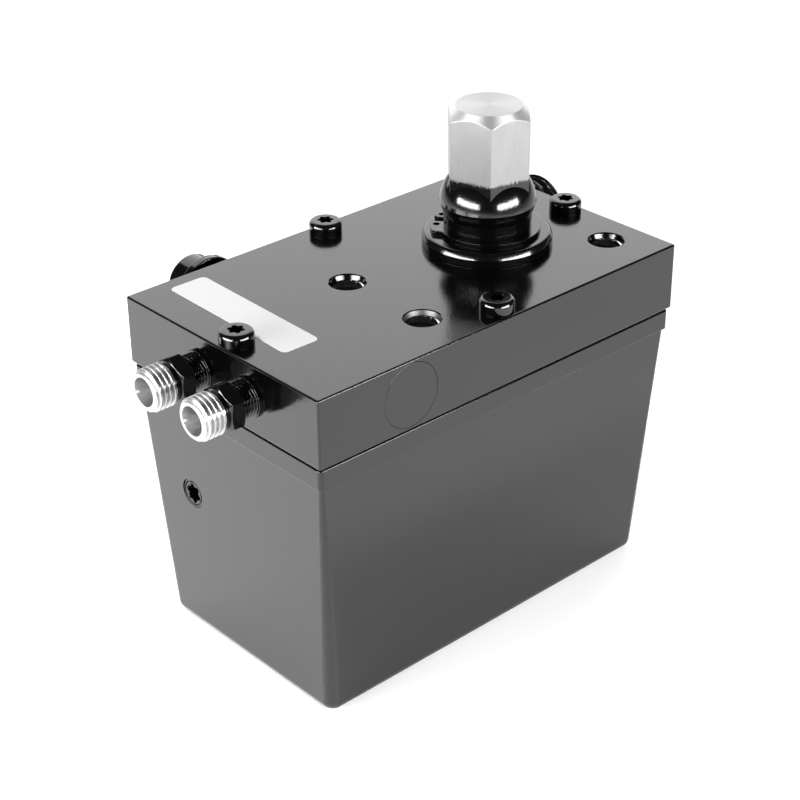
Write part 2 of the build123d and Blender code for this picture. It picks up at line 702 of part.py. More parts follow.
# ---------------------------------------------------------------- write one file per piece
PIECES = {
    "valve_block": valve_block,
    "label_plate": label_plate,
    "cover_screws": cover_screws,
    "flanged_bush": flanged_bush,
    "bush_o_ring": bush_o_ring,
    "lower_bush": lower_bush,
    "hex_drive_shaft": hex_drive_shaft,
    "circlip": circlip,
    "thrust_washer": thrust_washer,
    "cam_roller": cam_roller,
    "pump_plunger": pump_plunger,
    "plunger_seal": plunger_seal,
    "plunger_spring": plunger_spring,
    "pump_bore_plug": pump_bore_plug,
    "pump_plug_o_ring": pump_plug_o_ring,
    "suction_valve_body": suction_valve_body,
    "suction_ball": suction_ball,
    "suction_tube": suction_tube,
    "suction_strainer": suction_strainer,
    "delivery_valve_body": delivery_valve_body,
    "delivery_ball": delivery_ball,
    "delivery_spring": delivery_spring,
    "relief_valve_body": relief_valve_body,
    "relief_poppet": relief_poppet,
    "relief_spring": relief_spring,
    "relief_adjuster": relief_adjuster,
    "valve_spool": valve_spool,
    "spool_o_rings": spool_o_rings,
    "locating_ball": locating_ball,
    "locating_screw": locating_screw,
    "valve_knob": valve_knob,
    "knob_screw": knob_screw,
    "spool_bore_plug": spool_bore_plug,
    "spool_plug_o_ring": spool_plug_o_ring,
    "coupling_left": lambda: coupling(COUPLING_X[0]),
    "coupling_right": lambda: coupling(COUPLING_X[1]),
    "coupling_seals": coupling_seals,
    "filler_cap": filler_cap,
    "filler_cap_seal": filler_cap_seal,
    "tank": tank,
    "tank_gasket": tank_gasket,
    "level_plug": level_plug,
    "level_plug_seal": level_plug_seal,
}

os.makedirs("parts", exist_ok=True)
for name, make in PIECES.items():
    export_step(make(), f"parts/{name}.step")
    print("wrote", name)
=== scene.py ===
"""Looks of the hand pump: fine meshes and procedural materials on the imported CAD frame.

Pieces are given in millimetres, and MM turns them into metres. The stage is in metres.
"""

import json
import math

import bmesh
import bpy
from mathutils import Matrix, Quaternion, Vector

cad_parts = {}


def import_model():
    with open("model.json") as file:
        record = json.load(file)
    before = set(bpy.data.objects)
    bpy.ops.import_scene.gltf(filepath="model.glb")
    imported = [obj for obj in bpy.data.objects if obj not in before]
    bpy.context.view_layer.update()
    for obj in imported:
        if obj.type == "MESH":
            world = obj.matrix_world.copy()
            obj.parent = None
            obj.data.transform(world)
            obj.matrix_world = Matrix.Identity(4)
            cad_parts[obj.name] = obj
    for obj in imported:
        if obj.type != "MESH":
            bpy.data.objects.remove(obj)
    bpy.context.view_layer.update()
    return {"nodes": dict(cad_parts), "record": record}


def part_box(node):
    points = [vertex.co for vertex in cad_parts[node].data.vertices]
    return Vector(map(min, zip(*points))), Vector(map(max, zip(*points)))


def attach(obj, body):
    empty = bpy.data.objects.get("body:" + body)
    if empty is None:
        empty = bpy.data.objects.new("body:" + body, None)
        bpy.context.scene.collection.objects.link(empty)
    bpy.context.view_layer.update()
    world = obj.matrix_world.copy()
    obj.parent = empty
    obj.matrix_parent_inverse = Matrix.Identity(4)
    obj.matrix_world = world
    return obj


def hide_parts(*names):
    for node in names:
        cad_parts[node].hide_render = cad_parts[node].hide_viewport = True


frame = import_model()
nodes = frame["nodes"]
MM = 0.001


def middle(node):
    """Centre of a CAD node's box, in millimetres to a tenth."""
    lowest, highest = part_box(node)
    return [round((a + b) / 2 / MM, 1) for a, b in zip(lowest, highest)]


# ================================================================ places, millimetres
block_low, block_high = [[round(value / MM, 2) for value in corner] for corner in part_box("valve_block")]
TOP = block_high[2]
MID = (block_low[2] + TOP) / 2
FRONT, REAR = block_low[1], block_high[1]
SIDE = block_high[0]
DRIVE = tuple(middle("flanged_bush")[:2])
SPOOL_Y = middle("spool_bore_plug")[1]
COUPLING_X = (middle("coupling_left")[0], middle("coupling_right")[0])
CAP_X = middle("filler_cap")[0]
LEVEL_X, _, LEVEL_Z = middle("level_plug")
SCREWS = ((1.7, -61.3), (-35.0, 0.2), (34.4, 0.6), (1.7, 61.7))  # x, y
BRACKET_HOLES = ((24.6, 54.4, 16.0), (24.6, -17.3, 15.5), (-5.4, -17.3, 15.0))  # x, y, depth
HEX_TURN = 18.5  # degrees from +X to a corner of the drive hexagon
DRIVE_PAINT_HEIGHT = 21.5  # the drive is bare above this, measured from the block
COUPLING_PAINT_REACH = 10.9  # the couplings are bare beyond this, measured from the block


# ================================================================ materials
class Graph:
    """Small helper for wiring shader nodes."""

    def __init__(self, name):
        self.material = bpy.data.materials.new(name)
        self.material.use_nodes = True
        self.tree = self.material.node_tree
        self.tree.nodes.clear()
        self.out = self.tree.nodes.new("ShaderNodeOutputMaterial")

    def node(self, kind, inputs=None, **settings):
        made = self.tree.nodes.new(kind)
        for key, value in settings.items():
            setattr(made, key, value)
        for key, value in (inputs or {}).items():
            self.feed(made, key, value)
        return made

    def feed(self, target, key, value):
        socket = target.inputs[key]
        if isinstance(value, bpy.types.NodeSocket):
            self.tree.links.new(value, socket)
        else:
            socket.default_value = value

    def place(self):
        return self.node("ShaderNodeTexCoord").outputs["Object"]

    def stretched(self, scale):
        made = self.node("ShaderNodeMapping", {"Vector": self.place(), "Scale": scale})
        return made.outputs[0]

    def noise(self, scale, detail=3.0, rough=0.55, vector=None):
        settings = {"Scale": scale, "Detail": detail, "Roughness": rough}
        made = self.node("ShaderNodeTexNoise", settings)
        self.feed(made, "Vector", vector if vector is not None else self.place())
        return made.outputs["Fac"]

    def remap(self, value, low, high, to_low, to_high):
        settings = {"Value": value, "From Min": low, "From Max": high}
        made = self.node("ShaderNodeMapRange", settings)
        self.feed(made, "To Min", to_low)
        self.feed(made, "To Max", to_high)
        return made.outputs[0]

    def maths(self, operation, a, b):
        made = self.node("ShaderNodeMath", operation=operation)
        self.feed(made, 0, a)
        self.feed(made, 1, b)
        return made.outputs[0]

    def tinted(self, level, tint=(1.0, 1.0, 1.0)):
        """A colour whose channels are one shade times a tint."""
        made = self.node("ShaderNodeCombineColor")
        for channel, share in zip(("Red", "Green", "Blue"), tint):
            self.feed(made, channel, level if share == 1.0 else self.maths("MULTIPLY", level, share))
        return made.outputs[0]

    def blotched(self, streaks, streak_span, blotch, blotch_span):
        """A shade near 1 that varies with fine streaks and wide blotches."""
        fine = self.remap(streaks, 0.3, 0.7, *streak_span)
        wide = self.remap(blotch, 0.3, 0.7, *blotch_span)
        return self.maths("MULTIPLY", fine, wide)

    def mix_colour(self, fac, a, b):
        made = self.node("ShaderNodeMix", data_type="RGBA")
        self.feed(made, 0, fac)
        self.feed(made, 6, a)
        self.feed(made, 7, b)
        return made.outputs[2]

    def bump(self, height, strength, distance, normal=None):
        settings = {"Height": height, "Strength": strength, "Distance": distance}
        made = self.node("ShaderNodeBump", settings)
        if normal is not None:
            self.feed(made, "Normal", normal)
        return made.outputs[0]

    def principled(self, **inputs):
        named = {key.replace("_", " "): value for key, value in inputs.items()}
        return self.node("ShaderNodeBsdfPrincipled", named)

    def finish(self, shader):
        self.tree.links.new(shader.outputs[0], self.out.inputs["Surface"])
        return self.material


def grey(value):
    return (value, value, value, 1.0)


def painted_shader(graph):
    """Thick glossy black paint: slight orange peel, faint dust."""
    peel = graph.noise(1700.0, 2.0, 0.5)
    wave = graph.noise(160.0, 2.0, 0.5)
    bumped = graph.bump(peel, 0.10, 0.0002)
    bumped = graph.bump(wave, 0.02, 0.0006, bumped)
    dust = graph.remap(graph.noise(5200.0, 2.0, 0.6), 0.70, 0.78, 0.0, 1.0)
    rough = graph.remap(graph.noise(45.0, 4.0, 0.6), 0.3, 0.7, 0.11, 0.15)
    colour = graph.mix_colour(graph.maths("MULTIPLY", dust, 0.03), grey(0.0008), grey(0.20))
    return graph.principled(Base_Color=colour, Roughness=rough, Normal=bumped, IOR=1.52)


def gloss_paint():
    graph = Graph("gloss_black_paint")
    return graph.finish(painted_shader(graph))


def drawn_bare(graph, light):
    """Drawn bright steel: fine lengthwise scratches; the colour is scaled by light, a level that is painted
    shade.
    """
    streaks = graph.noise(1.0, 4.0, 0.6, graph.stretched((9000.0, 9000.0, 260.0)))
    blotch = graph.noise(120.0, 3.0, 0.5)
    shade = graph.blotched(streaks, (0.88, 1.08), blotch, (0.94, 1.03))
    colour = graph.tinted(graph.maths("MULTIPLY", shade, light))
    rough = graph.remap(streaks, 0.3, 0.7, 0.30, 0.42)
    bumped = graph.bump(streaks, 0.12, 0.0001)
    return colour, rough, bumped


def two_finish(name, axis, edge, bare_side, ragged, bare, metallic):
    """Paint on one side of a plane across an axis, bare metal on the other, with a ragged border."""
    graph = Graph(name)
    painted = painted_shader(graph)
    colour, rough, normal, stretch = bare(graph)
    metal = graph.principled(Base_Color=colour, Roughness=rough, Normal=normal, Metallic=metallic)
    round_axis = graph.node("ShaderNodeTangent", direction_type="RADIAL", axis="XYZ"[axis])
    graph.feed(metal, "Anisotropic", stretch)
    graph.feed(metal, "Anisotropic Rotation", 0.25)
    graph.feed(metal, "Tangent", round_axis.outputs[0])
    position = graph.node("ShaderNodeSeparateXYZ", {"Vector": graph.place()}).outputs[axis]
    wobble = graph.noise(1.0, 3.0, 0.7, graph.stretched((5200.0, 5200.0, 420.0)))
    shifted = graph.maths("ADD", position, graph.remap(wobble, 0.35, 0.65, -ragged, ragged))
    below, above = (0.0, 1.0) if bare_side > 0 else (1.0, 0.0)
    half_width = 0.00006
    fac = graph.remap(shifted, edge - half_width, edge + half_width, below, above)
    mixed = graph.node("ShaderNodeMixShader", {0: fac})
    graph.tree.links.new(painted.outputs[0], mixed.inputs[1])
    graph.tree.links.new(metal.outputs[0], mixed.inputs[2])
    return graph.finish(mixed)


def turned_bare(graph):
    """Bare steel; the turned end carries fine rings about the drive axis. Its colour is painted light: the
    sides, the crown's cone and its flat top each get their own grey according to which way they face.
    """
    # 0.275 is painted shade that darkens the hexagon's sides
    side_colour, side_rough, side_normal = drawn_bare(graph, 0.275)
    centred = graph.node("ShaderNodeMapping", {"Vector": graph.place()})
    centred.inputs["Location"].default_value = (-DRIVE[0] * MM, -DRIVE[1] * MM, 0.0)
    across = {0: centred.outputs[0], 1: (1.0, 1.0, 0.0)}
    flat = graph.node("ShaderNodeVectorMath", across, operation="MULTIPLY")
    radius = graph.node("ShaderNodeVectorMath", {0: flat.outputs[0]}, operation="LENGTH")
    outward = {"X": graph.maths("MULTIPLY", radius.outputs["Value"], 9000.0)}
    ripples = graph.noise(1.0, 2.0, 0.6, graph.node("ShaderNodeCombineXYZ", outward).outputs[0])
    facing = graph.node("ShaderNodeTexCoord").outputs["Normal"]
    upward = graph.node("ShaderNodeSeparateXYZ", {"Vector": facing}).outputs[2]
    on_top = graph.remap(upward, 0.2, 0.3, 0.0, 1.0)
    flat_top = graph.remap(upward, 0.9, 0.97, 0.0, 1.0)
    # painted light: the cone (0.56) and flat top (0.43) get lighter greys than the sides, chosen by facing
    # direction alone
    top_painted_light = graph.mix_colour(flat_top, grey(0.56), grey(0.43))
    colour = graph.mix_colour(on_top, side_colour, top_painted_light)
    top_rough = graph.remap(upward, 0.9, 0.97, 0.52, 0.50)
    rough = graph.node("ShaderNodeMix", {0: on_top, 2: side_rough, 3: top_rough}, data_type="FLOAT")
    ringed = graph.bump(ripples, 0.35, 0.00006)
    normal = graph.node("ShaderNodeMix", data_type="VECTOR")
    graph.feed(normal, 0, on_top)
    graph.feed(normal, 4, side_normal)
    graph.feed(normal, 5, ringed)
    turned, less = graph.maths("MULTIPLY", on_top, 0.9), graph.maths("MULTIPLY", flat_top, 0.5)
    return colour, rough.outputs[0], normal.outputs[1], graph.maths("SUBTRACT", turned, less)


def thread_bare(graph):
    """Bright turned steel of the hose threads."""
    fine = graph.noise(1.0, 3.0, 0.6, graph.stretched((1500.0, 9000.0, 1500.0)))
    colour = graph.tinted(graph.remap(fine, 0.3, 0.7, 0.42, 0.56))
    rough = graph.remap(fine, 0.3, 0.7, 0.28, 0.40)
    return colour, rough, graph.bump(fine, 0.10, 0.0001), 0.85


def plain_metal(name, tint, rough_low, rough_high):
    """Metal of one tint with faint grain and blotches."""
    graph = Graph(name)
    fine = graph.noise(1.0, 4.0, 0.6, graph.stretched((3000.0, 3000.0, 3000.0)))
    shade = graph.blotched(fine, (0.9, 1.06), graph.noise(70.0, 3.0, 0.55), (0.9, 1.05))
    shader = graph.principled(
        Base_Color=graph.tinted(shade, tint),
        Metallic=1.0,
        Roughness=graph.remap(fine, 0.3, 0.7, rough_low, rough_high),
        Normal=graph.bump(fine, 0.08, 0.0001),
    )
    return graph.finish(shader)


def soft_dull(name, tint, rough, grain=1400.0, spread=0.15):
    """Rubber, gasket or film: no metal, little shine."""
    graph = Graph(name)
    fine, wide = graph.noise(grain, 4.0, 0.6), graph.noise(60.0, 3.0, 0.5)
    shade = graph.blotched(fine, (1 - spread, 1 + spread), wide, (1 - spread / 2, 1 + spread / 2))
    shader = graph.principled(
        Base_Color=graph.tinted(shade, tint),
        Roughness=graph.remap(fine, 0.3, 0.7, rough - 0.06, rough + 0.06),
        Normal=graph.bump(fine, 0.15, 0.0001),
    )
    return graph.finish(shader)


coupling_edge = (FRONT - COUPLING_PAINT_REACH) * MM
drive_edge = (TOP + DRIVE_PAINT_HEIGHT) * MM
MATERIALS = {
    "gloss_black_paint": gloss_paint(),
    "coupling_steel": two_finish("coupling_steel", 1, coupling_edge, -1, 0.0001, thread_bare, 0.95),
    "bare_steel": two_finish("bare_steel", 2, drive_edge, 1, 0.0006, turned_bare, 0.85),
    "ground_steel": plain_metal("ground_steel", (0.56, 0.56, 0.57), 0.14, 0.24),
    "zinc_steel": plain_metal("zinc_steel", (0.58, 0.60, 0.63), 0.22, 0.34),
    "spring_steel": plain_metal("spring_steel", (0.13, 0.13, 0.13), 0.40, 0.56),
    "bronze": plain_metal("bronze", (0.60, 0.40, 0.18), 0.26, 0.38),
    "black_rubber": soft_dull("black_rubber", (0.022, 0.022, 0.023), 0.55),
    "gasket": soft_dull("gasket", (0.20, 0.20, 0.20), 0.75),
    "label_film": soft_dull("label_film", (0.38, 0.38, 0.38), 0.45, 2600.0, 0.02),
}
SLOT_OF = {row["node"]: row["material_slot"] for row in frame["record"]["subparts"]}


# ================================================================ mesh helpers
def settled_normals(mesh, limit):
    """A normal for each face corner: a flat region keeps its own right up to its rounded edges."""
    same_plane = 0.999998  # cosine between the normals of faces that count as one flat region
    work = bmesh.new()
    work.from_mesh(mesh)
    region, regions = {}, []
    for seed in work.faces:
        if seed in region:
            continue
        region[seed] = len(regions)
        waiting, area = [seed], 0.0
        while waiting:
            face = waiting.pop()
            area += face.calc_area()
            for edge in face.edges:
                for other in edge.link_faces:
                    if other not in region and other.normal.dot(seed.normal) > same_plane:
                        region[other] = region[seed]
                        waiting.append(other)
        regions.append((seed.normal.copy(), area * 1e6))
    corners = []
    for face in work.faces:
        for loop in face.loops:
            total = Vector((0.0, 0.0, 0.0))
            for other in loop.vert.link_faces:
                if other.normal.dot(face.normal) > limit:
                    normal, area = regions[region[other]]
                    total += normal * area**2
            corners.append(total.normalized() if total.length > 0 else face.normal.copy())
    work.free()
    return corners


def finish_mesh(mesh, material, sharp):
    """Welds and shades a skin; edges that turn by more than sharp degrees stay sharp."""
    work = bmesh.new()
    work.from_mesh(mesh)
    bmesh.ops.remove_doubles(work, verts=work.verts, dist=1e-7)
    bmesh.ops.recalc_face_normals(work, faces=work.faces)
    work.to_mesh(mesh)
    work.free()
    mesh.shade_smooth()
    mesh.set_sharp_from_angle(angle=math.radians(sharp))
    mesh.normals_split_custom_set(settled_normals(mesh, math.cos(math.radians(sharp))))
    mesh.materials.clear()
    mesh.materials.append(material)


def add_piece(name, mesh, body, slot, stands_for=(), sharp=28.0):
    finish_mesh(mesh, MATERIALS[slot], sharp)
    piece = bpy.data.objects.new(name, mesh)
    bpy.context.scene.collection.objects.link(piece)
    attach(piece, body)
    if stands_for:
        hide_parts(*stands_for)
    return piece


def rings_to_mesh(name, rings, place=None):
    """Skin over rings of equal length; a ring of one point closes an end.

    The rings are in millimetres and the mesh is in metres.
    """
    place = place or Matrix.Identity(4)
    points, faces, starts = [], [], []
    for ring in rings:
        starts.append((len(points), len(ring)))
        points.extend((place @ Vector(p)) * MM for p in ring)
    for (first, count), (second, count_next) in zip(starts, starts[1:]):
        total = max(count, count_next)
        for i in range(total):
            j = (i + 1) % total
            if count == 1:
                faces.append((first, second + i, second + j))
            elif count_next == 1:
                faces.append((first + i, first + j, second))
            else:
                faces.append((first + i, first + j, second + j, second + i))
    mesh = bpy.data.meshes.new(name)
    mesh.from_pydata(points, [], faces)
    mesh.update()
    return mesh


def even_angles(count):
    return [2 * math.pi * i / count for i in range(count)]


def lathe(name, profile, place=None, angles=None, rule=None):
    """Turned skin from (radius, height) points; rule(r, z, angle) moves each point."""
    angles = angles or even_angles(144)
    rings = []
    for r, z in profile:
        if r < 1e-6:
            rings.append([(0.0, 0.0, z)])
            continue
        ring = []
        for a in angles:
            radius, height = rule(r, z, a) if rule else (r, z)
            ring.append((radius * math.cos(a), radius * math.sin(a), height))
        rings.append(ring)
    return rings_to_mesh(name, rings, place)


def rounded_path(corners, steps=6):
    """Polyline whose corners (x, y, fillet radius) are rounded."""
    path = []
    last = len(corners) - 1
    for i, corner in enumerate(corners):
        x, y = corner[0], corner[1]
        radius = corner[2] if len(corner) > 2 else 0.0
        if radius <= 0 or i in (0, last):
            path.append((x, y))
            continue
        here = Vector((x, y))
        back = (Vector(corners[i - 1][:2]) - here).normalized()
        ahead = (Vector(corners[i + 1][:2]) - here).normalized()
        half = math.acos(max(-1.0, min(1.0, back.dot(ahead)))) / 2
        reach = radius / math.tan(half)
        start, end = here + back * reach, here + ahead * reach
        centre = here + (back + ahead).normalized() * (radius / math.sin(half))
        a0 = math.atan2(start.y - centre.y, start.x - centre.x)
        a1 = math.atan2(end.y - centre.y, end.x - centre.x)
        sweep = (a1 - a0 + math.pi) % (2 * math.pi) - math.pi
        for k in range(steps + 1):
            a = a0 + sweep * k / steps
            path.append((centre.x + radius * math.cos(a), centre.y + radius * math.sin(a)))
    return path


def shoulder(radius, height, bend, slope):
    """Edge of a painted turned piece: a small bend off the flat top, then a nearly straight flank.

    Points run from the top (first) to a crisp corner on the side (last); slope is the flank's
    large radius.
    """
    steps, upright = 8, math.pi / 2
    first, last = math.radians(28), math.radians(18)
    start = radius - bend * math.cos(first) - slope * (math.cos(last) - math.cos(first))
    points = []
    for k in range(steps + 1):
        tilt = upright + (first - upright) * k / steps
        points.append((start + bend * math.cos(tilt), height - bend + bend * math.sin(tilt)))
    across = start + (bend - slope) * math.cos(first)
    up = height - bend + (bend - slope) * math.sin(first)
    for k in range(1, steps + 1):
        tilt = first + (last - first) * k / steps
        points.append((across + slope * math.cos(tilt), up + slope * math.sin(tilt)))
    return points


def dense(path, step):
    """The same path with points no further apart than step."""
    out = [path[0]]
    for (x0, y0), (x1, y1) in zip(path, path[1:]):
        count = max(1, math.ceil(math.hypot(x1 - x0, y1 - y0) / step))
        for k in range(1, count + 1):
            out.append((x0 + (x1 - x0) * k / count, y0 + (y1 - y0) * k / count))
    return out


def along(direction, x, y, z):
    """Places a part turned about local +Z so that it points along a row axis."""
    turn = {
        "+Z": Matrix.Identity(4),
        "-Y": Matrix.Rotation(math.radians(90), 4, "X"),
        "+Y": Matrix.Rotation(math.radians(-90), 4, "X"),
        "+X": Matrix.Rotation(math.radians(90), 4, "Y"),
        "-X": Matrix.Rotation(math.radians(-90), 4, "Y"),
    }[direction]
    return Matrix.Translation((x, y, z)) @ turn


def soft_low(a, b, width):
    """Smooth minimum: a fillet of about this width where two surfaces cross."""
    h = max(width - abs(a - b), 0.0) / width
    return min(a, b) - h * h * width * 0.25


def hexagon_radius(apothem, corner_round, angle, first_corner):
    """Polar radius of a hexagon with rounded corners."""
    sector = math.radians(60)
    off = abs((angle - first_corner) % sector - sector / 2)
    inner = apothem - corner_round
    if apothem * math.tan(off) <= inner * math.tan(sector / 2):
        return apothem / math.cos(off)
    reach = inner / math.cos(sector / 2)
    from_corner = sector / 2 - off
    aside = reach * math.sin(from_corner)
    return reach * math.cos(from_corner) + math.sqrt(max(corner_round**2 - aside**2, 0.0))


def hexagon_angles(first_corner):
    """Angles round a hexagon, 3 degrees apart and closer at its corners."""
    near_corner = (0.0, 0.3, 0.6, 1.0, 1.5, 2.2)
    angles = set()
    for k in range(120):
        angles.add(round(math.radians(3.0 * k) % (2 * math.pi), 6))
    for corner in range(6):
        for off in near_corner:
            for sign in (-1, 1):
                a = first_corner + math.radians(60 * corner) + sign * math.radians(off)
                angles.add(round(a % (2 * math.pi), 6))
    return sorted(angles)


def thread_cut(angle, z, pitch, depth):
    """Depth below the crest of a right-hand 60 degree thread."""
    root_share, flank_share, rounding = 0.16, 0.62, 0.35
    phase = (z / pitch - angle / (2 * math.pi)) % 1.0
    away = abs(phase - 0.5) * 2
    flank = min(max((away - root_share) / flank_share, 0.0), 1.0)
    smooth = flank * flank * (3 - 2 * flank) * rounding + flank * (1 - rounding)
    return depth * (1 - smooth)


def round_ring(angles, r, z):
    return [(r * math.cos(a), r * math.sin(a), z) for a in angles]


def lobed_ring(angles, turn, outer, inner, z):
    """One ring of a six-lobe socket's wall."""
    ring = []
    for a in angles:
        swing = 0.5 + 0.5 * math.cos(6 * (a + turn))
        r = inner + (outer - inner) * swing**0.8
        ring.append((r * math.cos(a), r * math.sin(a), z))
    return ring


def cad_copy(node, body):
    """Smoothly shaded stand-in with exactly the CAD node's shape."""
    mesh = nodes[node].data.copy()
    mesh.name = node + "_skin"
    if mesh.has_custom_normals:
        mesh.normals_split_custom_set([(0, 0, 0)] * len(mesh.loops))
    work = bmesh.new()
    work.from_mesh(mesh)
    bmesh.ops.remove_doubles(work, verts=work.verts, dist=2e-7)
    flat = math.radians(0.6)
    bmesh.ops.dissolve_limit(work, angle_limit=flat, verts=work.verts, edges=work.edges)
    work.to_mesh(mesh)
    work.free()
    return add_piece(node + "_skin", mesh, body, SLOT_OF[node], (node,))


# ================================================================ visible pieces
def hexagon_drive():
    """Neck, ball-shaped collar and hexagon with a turned crown; heights are above the block."""
    first = math.radians(HEX_TURN)
    place = along("+Z", DRIVE[0], DRIVE[1], TOP)
    apothem, corner_r = 11.0, 0.35
    ball_centre, ball_r = 12.04, 13.787
    collar_foot, crease_row, flat_row = 13.06, 17.0, 20.6
    crown_foot, crown_top, crown_disc_r = 37.6, 41.2, 9.4
    eccentricity, eccentric_top, eccentric_foot, tail_foot = 4.0, -6.7, -13.2, -18.7
    uncut_r = 12.7  # beyond the hexagon's corners, so that shape() cuts it back
    crown = [(6.0, crown_top), (crown_disc_r, crown_top, 0.5), (13.4, crown_foot)]

    def shape(r, z, a):
        """Crown and ball are cut by the hexagon; one ring of points follows its edge on the ball."""
        flat = hexagon_radius(apothem, corner_r, a, first)
        if z > crown_foot + 0.01:
            return soft_low(r, flat, 0.08), z
        if z <= collar_foot:
            return r, z
        crease = ball_centre + math.sqrt(ball_r**2 - flat**2)
        if z > flat_row:
            return flat, z
        if z >= crease_row:
            return flat, crease + (flat_row - crease) * (z - crease_row) / (flat_row - crease_row)
        z = collar_foot + (crease - collar_foot) * (z - collar_foot) / (crease_row - collar_foot)
        return math.sqrt(ball_r**2 - (z - ball_centre) ** 2), z

    collar_rows = 40
    row = (crease_row - collar_foot) / collar_rows
    profile = [(0.0, crown_top), (2.0, crown_top), (4.0, crown_top)]
    profile += dense(rounded_path(crown, 8), 0.12)
    profile += [(uncut_r, z) for z in (crown_foot, 36, 33, 30, 27, 24, 22, 21)]
    profile += [(uncut_r, z) for z in (flat_row, 19.0, crease_row)]
    profile += [(uncut_r, crease_row - row * k) for k in range(1, collar_rows)]
    profile.append((13.76, collar_foot))
    profile += rounded_path([(13.75, 13.05), (12.56, 9.4, 0.5), (12.5, 5.45)], 6)
    profile += [(11.95, 5.45), (11.95, 4.15), (12.5, 4.15), (12.5, 3.6), (14.0, 3.6), (14.0, -5.0)]
    profile += [(15.4, -5.0), (15.4, eccentric_top), (7.0, eccentric_top)]
    upper = lathe("hex_drive_upper", profile, place, hexagon_angles(first), shape)
    add_piece("hex_drive", upper, "drive", "bare_steel", ("hex_drive_shaft",), 17.0)
    cam_place = along("+Z", DRIVE[0], DRIVE[1] + eccentricity, TOP)
    cam_path = [(0, eccentric_top), (7.0, eccentric_top), (7.0, eccentric_foot), (0, eccentric_foot)]
    cam = lathe("drive_eccentric", cam_path, cam_place)
    add_piece("drive_eccentric", cam, "drive", "ground_steel")
    tail_path = [(0, eccentric_foot), (6.0, eccentric_foot), (6.0, -18.4), (5.7, tail_foot), (0, tail_foot)]
    tail = lathe("drive_tail", tail_path, place)
    add_piece("drive_tail", tail, "drive", "ground_steel")


def flanged_bush():
    """Round flange with a rounded edge, and the sleeve below it."""
    path = rounded_path([(14.03, -3.9), (14.03, 4.1, 0.25), (17.0, 4.1)], 8)
    path += shoulder(18.65, 4.1, 1.0, 7.8)
    path += rounded_path([(18.65, 2.2), (18.65, 0.0, 0.25), (16.5, 0.0), (16.5, -3.9)], 6)
    path.append((14.03, -3.9))
    mesh = lathe("flanged_bush", path, along("+Z", DRIVE[0], DRIVE[1], TOP), even_angles(192))
    add_piece("bush", mesh, "housing", "gloss_black_paint", ("flanged_bush",), 14.0)


def retaining_ring():
    """Flat ring with a gap and two drilled lugs, as a filled outline with rounded edges."""
    gap = math.radians(-147.0)
    half_gap, lug_end, lug_fade = 6.0, 29.0, 37.0  # degrees from the middle of the gap
    corner_span, corner_cut = 3.5, 0.9  # degrees and depth of the rounding where a lug meets the gap
    inner_r, thin_r, thick_r, lug_r = 12.02, 13.9, 15.1, 16.25
    hole_r, hole_ring_r, hole_off = 0.95, 14.45, 14.0
    thickness, edge = 1.2, 0.12
    centre_height = 4.78
    count = 220

    def outer(off):
        base = thin_r + (thick_r - thin_r) * (1 - math.cos(math.radians(off))) / 2
        if off <= lug_end:
            return lug_r
        if off >= lug_fade:
            return base
        t = (off - lug_end) / (lug_fade - lug_end)
        t = t * t * (3 - 2 * t)
        return lug_r + (base - lug_r) * t

    def point(radius, off):
        a = gap + math.radians(off)
        return (radius * math.cos(a), radius * math.sin(a))

    sweep = 360 - 2 * half_gap
    outline = []
    for i in range(count + 1):
        off = half_gap + sweep * i / count
        folded = min(off, 360 - off)
        rounding = max(0.0, 1 - (folded - half_gap) / corner_span)
        outline.append(point(outer(folded) - corner_cut * rounding**2, off))
    outline += [point(inner_r, 360 - half_gap - sweep * i / count) for i in range(count + 1)]
    rims = [outline]
    for sign in (-1, 1):
        x, y = point(hole_ring_r, sign * hole_off)
        rims.append([(x + hole_r * math.cos(a), y + hole_r * math.sin(a)) for a in even_angles(28)])
    curve = bpy.data.curves.new("circlip_outline", "CURVE")
    curve.dimensions = "2D"
    curve.fill_mode = "BOTH"
    curve.extrude = (thickness / 2 - edge) * MM
    curve.bevel_depth = edge * MM
    curve.offset = -edge * MM
    curve.bevel_resolution = 2
    for rim in rims:
        spline = curve.splines.new("POLY")
        spline.points.add(len(rim) - 1)
        for target, (x, y) in zip(spline.points, rim):
            target.co = (x * MM, y * MM, 0.0, 1.0)
        spline.use_cyclic_u = True
    temporary = bpy.data.objects.new("circlip_outline", curve)
    bpy.context.scene.collection.objects.link(temporary)
    bpy.context.view_layer.update()
    graph = bpy.context.evaluated_depsgraph_get()
    mesh = bpy.data.meshes.new_from_object(temporary.evaluated_get(graph))
    bpy.data.objects.remove(temporary)
    mesh.transform(Matrix.Translation((DRIVE[0] * MM, DRIVE[1] * MM, (TOP + centre_height) * MM)))
    mesh.name = "circlip"
    add_piece("retaining_ring", mesh, "drive", "gloss_black_paint", ("circlip",))


def screw_head(name, x, y, turn):
    """Pan head with a six-lobe socket."""
    head_r, height, depth, lead = 4.75, 3.7, 2.2, 0.18
    lobe_r, waist_r = 2.24, 1.62
    outside = rounded_path([(2.9, 0.0), (head_r, 0.0, 0.15), (head_r, 0.6)], 4)
    outside += shoulder(head_r, height, 1.1, 3.4)[::-1]
    outside.append((3.0, height))
    angles = even_angles(120)
    rings = [round_ring(angles, r, z) for r, z in outside]
    for z, extra in ((height, lead), (height - lead, 0.0), (height - depth, 0.0)):
        rings.append(lobed_ring(angles, turn, lobe_r + extra, waist_r + extra, z))
    rings.append([(0.0, 0.0, height - depth - 0.25)])
    mesh = rings_to_mesh(name, rings, along("+Z", x, y, TOP))
    return add_piece(name, mesh, "housing", "gloss_black_paint", (), 14.0)


